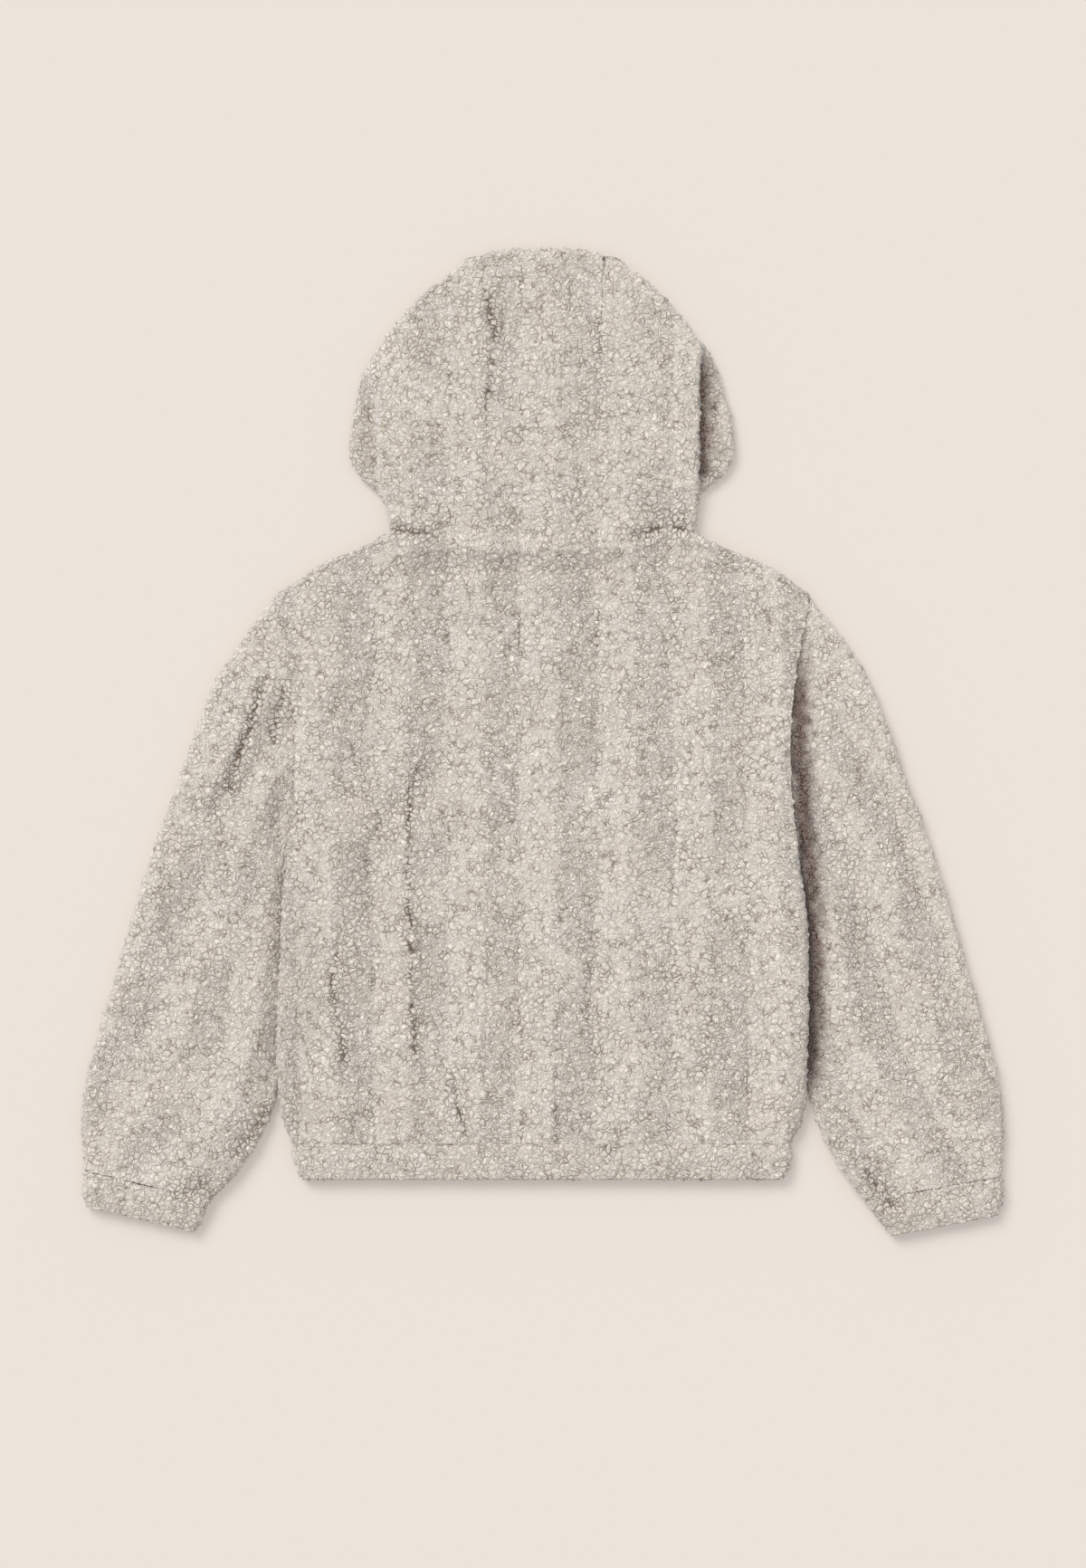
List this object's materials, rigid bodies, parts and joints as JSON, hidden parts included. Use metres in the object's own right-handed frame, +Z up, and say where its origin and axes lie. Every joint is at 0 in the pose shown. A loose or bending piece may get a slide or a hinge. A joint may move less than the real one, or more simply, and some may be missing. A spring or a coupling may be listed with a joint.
{
  "type": "hooded fleece jacket",
  "caption": "Hooded curly-pile fleece jacket laid flat on its front: panelled hood, dropped sleeves with banded cuffs, banded hem and a full-length zip.",
  "frame": {"origin": "middle of the jacket's outline, on the surface it lies on", "axes": "+X towards the wearer's right sleeve, +Y towards the hood, +Z up off the surface, out of the jacket's back"},
  "size_m": [0.982, 1.05, 0.0297],
  "materials": {
    "fleece": "curled high-pile fleece, matte, oatmeal",
    "zip_tape": "woven tape, matte",
    "zip_metal": "satin plated metal"
  },
  "bodies": {
    "jacket": {"back": "fleece", "front_left": "fleece", "front_right": "fleece", "hem_band": "fleece", "sleeve_left": "fleece", "sleeve_right": "fleece", "cuff_left": "fleece", "cuff_right": "fleece", "hood_left": "fleece", "hood_right": "fleece", "hood_centre": "fleece", "zip_tape_left": "zip_tape", "zip_tape_right": "zip_tape", "zip_chain": "zip_metal", "zip_box": "zip_metal", "zip_slider": "zip_metal"},
    "pull": {"zip_pull": "zip_metal"}
  },
  "joints": [
    {"name": "pull_swing", "type": "hinge", "parent": "jacket", "child": "pull", "pos_m": [0, 0.136, 0.0039], "axis": [1, 0, 0], "range_deg": [0, 160]}
  ]
}
